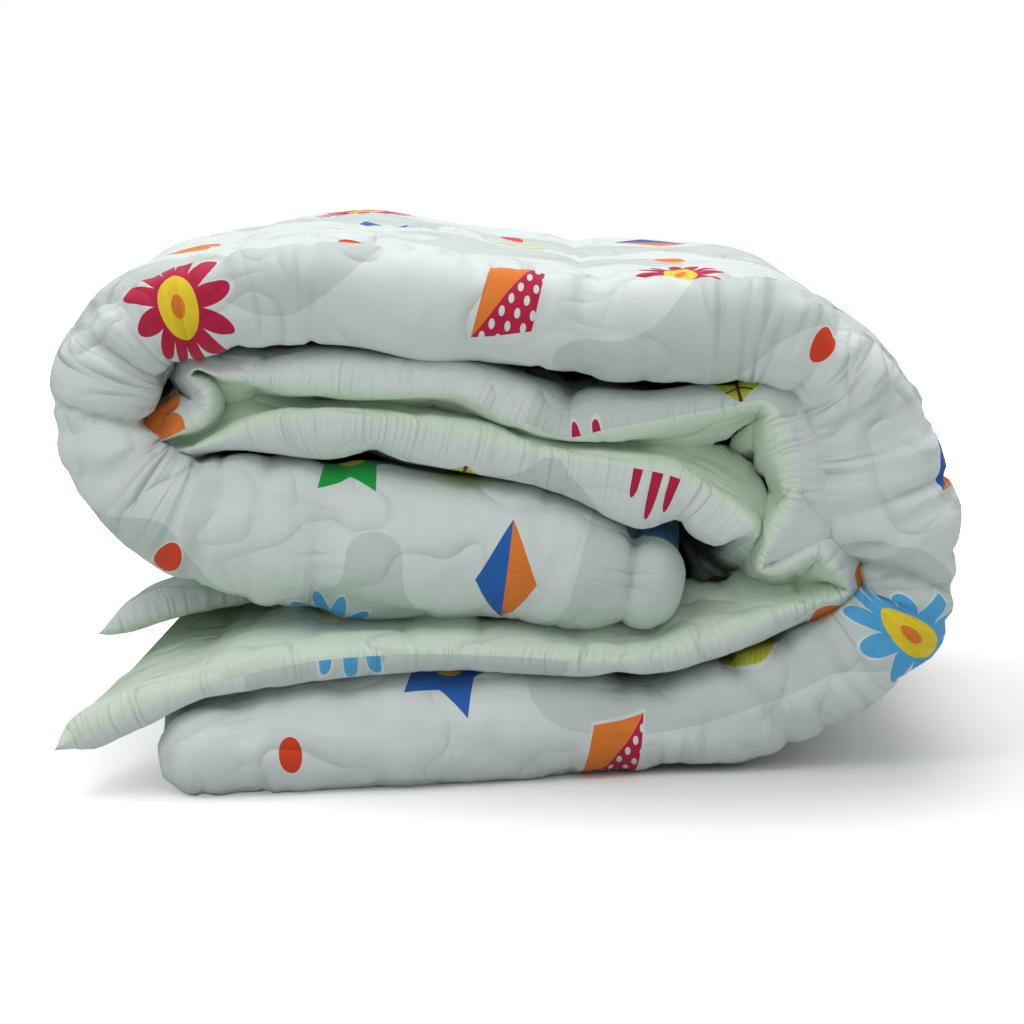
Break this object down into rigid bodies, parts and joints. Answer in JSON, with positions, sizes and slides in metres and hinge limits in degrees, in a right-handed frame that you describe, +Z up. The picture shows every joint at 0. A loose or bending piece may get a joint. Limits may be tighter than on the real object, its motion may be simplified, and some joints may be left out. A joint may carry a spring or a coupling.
{
  "type": "comforter",
  "caption": "Child's quilted comforter with a printed face and a pale mint reverse, folded lengthwise in thirds, rolled up and lying on its side.",
  "frame": {"origin": "middle of the part's box in X and Y, on the surface that it rests on", "axes": "+X along the roll's wide side, +Y from the end of the roll that shows its spiral to the far end, +Z up"},
  "size_m": [0.6694, 0.5694, 0.3917],
  "materials": {
    "printed_cotton": "soft matte woven cotton, printed on its outer face, with a pale mint reverse"
  },
  "bodies": {
    "root": {"comforter": "printed_cotton"}
  },
  "joints": []
}
